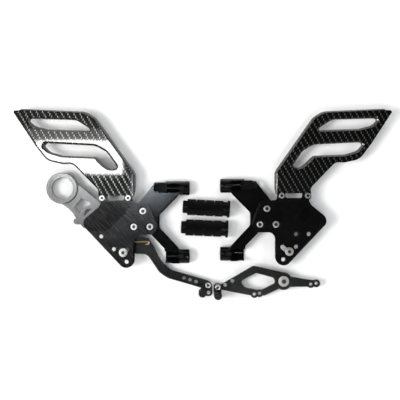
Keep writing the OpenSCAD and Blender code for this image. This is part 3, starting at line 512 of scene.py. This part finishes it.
# node: body, finish, edge radius in mm
roundedPieces = {
    "brake_frame_bracket": ("set", "blackBracket", 0.6),
    "shift_frame_bracket": ("set", "blackBracket", 0.6),
    "brake_peg_plate": ("set", "blackPlate", 0.5),
    "shift_peg_plate": ("set", "shadedPlate", 0.5),
    "brake_heel_guard": ("set", "brakeCarbon", 2.2),
    "shift_heel_guard": ("set", "shiftCarbon", 1.1),
    "silencer_hanger": ("set", "hangerGrey", 0.6),
    "brake_lever": ("brake_pedal", "blackLever", 0.6),
    "brake_toe_link": ("brake_pedal", "blackLever", 0.5),
    "brake_toe_peg": ("brake_pedal", "toeBlack", 0.4),
    "brake_toe_bolts": ("brake_pedal", "boltSteel", 0.15),
    "brake_return_spring": ("brake_pedal", "springGold", 0),
    "brake_pivot_bush": ("brake_pedal", "bushBronze", 0.2),
    "brake_pivot_bolt": ("set", "toeBlack", 0.3),
    "brake_bracket_bolts": ("set", "boltSteel", 0.3),
    "brake_guard_bolts": ("set", "boltSteel", 0.2),
    "brake_stop_bolt": ("set", "boltSteel", 0.3),
    "brake_stop_washer": ("set", "boltSteel", 0.15),
    "brake_stop_sleeve": ("set", "boltSteel", 0.2),
    "brake_stop_nut": ("set", "boltSteel", 0.2),
    "hanger_bolts": ("set", "boltSteel", 0.3),
    "shift_bracket_bolts": ("set", "boltSteel", 0.3),
    "shift_guard_bolts": ("set", "boltSteel", 0.2),
    "shift_stop_bolt": ("set", "boltSteel", 0.3),
    "shift_stop_washer": ("set", "boltSteel", 0.15),
    "shift_stop_sleeve": ("set", "boltSteel", 0.2),
    "shift_stop_nut": ("set", "boltSteel", 0.2),
    "shift_lever": ("shift_pedal", "blackLever", 0.6),
    "shift_toe_link": ("shift_pedal", "blackLever", 0.5),
    "shift_toe_peg": ("shift_pedal", "toeBlack", 0.4),
    "shift_toe_bolts": ("shift_pedal", "boltSteel", 0.15),
    "shift_pivot_bolt": ("set", "boltSteel", 0.3),
    "shift_pivot_collar": ("set", "boltSteel", 0.25),
    "shift_pivot_nut": ("set", "boltSteel", 0.25),
    "footpeg_set_screws": ("set", "boltSteel", 0.08),
}
for node, (body, finish, radius) in roundedPieces.items():
    roundedCopy(node, body, finish, radius)
print("metal and carbon pieces ready")


# pocket floors: a thin dished plate closes the counterbore of each upper boss

pocket = {
    "thick": 1.4, "low": 8.05, "round": 3.0, "segments": 5, "dish": 0.5, "rim": 1.6,
    # lower left and upper right corner
    "places": {"brake": ((-74.5, 17.5), (-54.5, 33.0)), "shift": ((58.5, 19.5), (82.0, 35.0))},
}


def pocketFloor(side, low, high):
    p = pocket
    size = Vector((high[0] - low[0], high[1] - low[1], p["thick"])) * mm
    middle = Vector(((low[0] + high[0]) / 2, (low[1] + high[1]) / 2,
                     p["low"] + p["thick"] / 2)) * mm
    bm = bmesh.new()
    bmesh.ops.create_cube(bm, size=1.0)
    bmesh.ops.scale(bm, vec=size, verts=bm.verts[:])
    upright = [e for e in bm.edges if abs(e.verts[0].co.z - e.verts[1].co.z) > size.z / 2]
    bmesh.ops.bevel(bm, geom=upright, offset=p["round"] * mm, offset_type="OFFSET",
                    segments=p["segments"], profile=0.5, affect="EDGES", clamp_overlap=True,
                    material=-1)
    bm.normal_update()
    top = [f for f in bm.faces if f.normal.z > 0.9]    # the one face that looks up
    bmesh.ops.inset_region(bm, faces=top, thickness=p["rim"] * mm, depth=-p["dish"] * mm)
    bm.faces.layers.float.new("edge")
    bmesh.ops.recalc_face_normals(bm, faces=bm.faces[:])
    bmesh.ops.translate(bm, vec=middle, verts=bm.verts[:])
    addPiece(side + "_pocket_floor", bm, "pocketBlack", "set", "pocket")


for side, (low, high) in pocket["places"].items():
    pocketFloor(side, low, high)
print("pocket floors ready")


# threads: each spare footpeg hole has its turns, made as rings

thread = {
    "root": 4.1, "crest": 3.2, "pitch": 1.25, "turns": 7, "low": 20.6, "around": 36,
    "flankFoot": 0.15, "gap": 0.05, "crestFrom": 0.45, "crestTo": 0.6,    # the last two in pitches
    "places": [("brake_peg_plate", (-133.0, -67.4)), ("brake_peg_plate", (-114.0, -86.4)),
               ("brake_peg_plate", (-152.0, -48.4)), ("shift_peg_plate", (139.8, -44.8)),
               ("shift_peg_plate", (158.8, -44.8)), ("shift_peg_plate", (139.8, -63.8)),
               ("shift_peg_plate", (120.8, -82.8))],
}


def threadedHole(name, middle):
    t = thread
    rows = [(t["root"], t["low"])]    # radius and height
    for i in range(t["turns"]):
        start = t["low"] + i * t["pitch"]
        rows += [(t["root"] - t["flankFoot"], start + t["gap"]),
                 (t["crest"], start + t["crestFrom"] * t["pitch"]),
                 (t["crest"], start + t["crestTo"] * t["pitch"])]
    rows.append((t["root"], t["low"] + t["turns"] * t["pitch"]))
    bm = bmesh.new()
    line = [bm.verts.new((radius * mm, 0, z * mm)) for radius, z in rows]
    loop = [bm.edges.new((a, b)) for a, b in zip(line, line[1:] + line[:1])]
    bmesh.ops.spin(bm, geom=line + loop, cent=(0, 0, 0), axis=(0, 0, 1), angle=2 * math.pi,
                   steps=t["around"], use_merge=True, use_duplicate=False)
    bmesh.ops.remove_doubles(bm, verts=bm.verts[:], dist=rounding["merge"] * mm)
    bm.faces.layers.float.new("edge")
    bmesh.ops.recalc_face_normals(bm, faces=bm.faces[:])
    bmesh.ops.translate(bm, vec=Vector((middle[0], middle[1], 0)) * mm, verts=bm.verts[:])
    addPiece(name, bm, "blackPlate", "set", "thread")


for number, (plate, middle) in enumerate(thread["places"], 1):
    threadedHole(plate + "_thread_" + str(number), middle)
print("threads ready")


# footpegs: a turned body whose bands carry a diamond knurl

footpeg = {
    "radius": 12.3, "knurlDepth": 0.75, "around": 76, "bandLength": 12.6, "bandPitch": 13.8,
    "bands": 4, "bandEase": 0.1, "groove": 0.7, "grooveEase": 0.05,
    "shoulder": 7.0, "shoulderRadius": 9.6, "shoulderChamfer": 0.8,
    "bore": 4.0, "boreDepth": 24.0, "boreChamfer": 0.6,
    "waist": 4.5, "waistRadius": 10.8, "flange": 4.6, "flangeRadius": 13.0,
    # the flange's chamfers: length from its near and its far face, and change of radius
    "nearChamfer": [(0.7, -0.3), (1.0, 0.0)],
    "farChamfer": [(-0.8, 0.0), (-0.2, -0.5), (0.0, -1.1)],
    # how strongly the knurl's faces are marked for the painted glint
    "wearAndGlint": 0.6,
    "turns": {"footpeg_upper": -3.1, "footpeg_lower": -2.4},    # degrees off the X axis
}
knurlSunk = 9    # row mark of a vertex that the knurl has sunk


def footpegProfile(p):
    # length, radius and row mark, from the bore round to the closed end; the knurl's rows are
    # marked 1 and 2 in turn, and the others 0
    rows = [(p["boreDepth"], 0.0, 0), (p["boreDepth"], p["bore"], 0),
            (p["boreChamfer"], p["bore"], 0), (0.0, p["bore"] + p["boreChamfer"], 0),
            (0.0, p["shoulderRadius"] - p["shoulderChamfer"], 0),
            (p["shoulderChamfer"], p["shoulderRadius"], 0),
            (p["shoulder"], p["shoulderRadius"], 0)]
    step = 2 * math.pi * p["radius"] / p["around"]
    count = int(round(p["bandLength"] / step))
    knurlLength = p["bandLength"] - 2 * p["bandEase"]
    deep = p["radius"] - p["knurlDepth"] - p["groove"]
    for band in range(p["bands"]):
        start = p["shoulder"] + band * p["bandPitch"]
        rows.append((start, deep, 0))
        for i in range(count + 1):
            along = start + p["bandEase"] + i * knurlLength / count
            rows.append((along, p["radius"], 1 + i % 2))
        rows.append((start + p["bandLength"], deep, 0))
        rows.append((start + p["bandPitch"] - p["grooveEase"], deep, 0))
    waistStart = p["shoulder"] + p["bands"] * p["bandPitch"]
    flangeStart = waistStart + p["waist"]
    length = flangeStart + p["flange"]
    rows += [(waistStart, p["waistRadius"], 0), (flangeStart, p["waistRadius"], 0)]
    rows += [(flangeStart + a, p["flangeRadius"] + b, 0) for a, b in p["nearChamfer"]]
    rows += [(length + a, p["flangeRadius"] + b, 0) for a, b in p["farChamfer"]]
    rows.append((length, 0.0, 0))
    return rows, length


def sinkKnurl(bm, mark, p):
    # crossings sink and crowns stay, alternating like a chessboard, and each square between them
    # is folded along its two sunk corners
    sink = 1 - p["knurlDepth"] / p["radius"]
    for vert in bm.verts:
        if vert[mark]:
            angle = math.atan2(vert.co.y, vert.co.z)
            column = int(round(angle / (2 * math.pi) * p["around"]))
            if (column + vert[mark]) % 2:
                vert.co.y *= sink
                vert.co.z *= sink
                vert[mark] = knurlSunk
    for face in [f for f in bm.faces if len(f.verts) == 4]:
        low = [v for v in face.verts if v[mark] == knurlSunk]
        if len(low) == 2 and all(v[mark] for v in face.verts):
            bmesh.utils.face_split(face, low[0], low[1])


def knurledPeg(node, middle, turn):
    p = footpeg
    rows, length = footpegProfile(p)
    bm = bmesh.new()
    mark = bm.verts.layers.int.new("row")
    edgeMark = bm.faces.layers.float.new("edge")
    line = []
    for along, radius, row in rows:
        vert = bm.verts.new((along * mm, 0, radius * mm))
        vert[mark] = row
        line.append(vert)
    outline = [bm.edges.new((a, b)) for a, b in zip(line, line[1:])]
    bmesh.ops.spin(bm, geom=line + outline, cent=(0, 0, 0), axis=(1, 0, 0), angle=2 * math.pi,
                   steps=p["around"], use_merge=True, use_duplicate=False)
    bmesh.ops.remove_doubles(bm, verts=bm.verts[:], dist=rounding["merge"] * mm)
    sinkKnurl(bm, mark, p)
    for face in bm.faces:
        # the knurl's faces are marked, so that the finish paints a glint of bare grey on them
        face[edgeMark] = p["wearAndGlint"] if any(v[mark] in (1, 2) for v in face.verts) else 0.0
    bmesh.ops.recalc_face_normals(bm, faces=bm.faces[:])
    place = (Matrix.Translation((middle[0] * mm, middle[1] * mm, p["flangeRadius"] * mm))
             @ Matrix.Rotation(math.radians(turn), 4, "Z")
             @ Matrix.Translation((-length / 2 * mm, 0, 0)))
    bmesh.ops.transform(bm, matrix=place, verts=bm.verts[:])
    addPiece(node + "_knurled", bm, "pegBlack", "set", "knurl", node)


for node, turn in footpeg["turns"].items():
    low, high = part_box(node)
    knurledPeg(node, ((low[0] + high[0]) / 2 / mm, (low[1] + high[1]) / 2 / mm), turn)
print("footpegs ready")
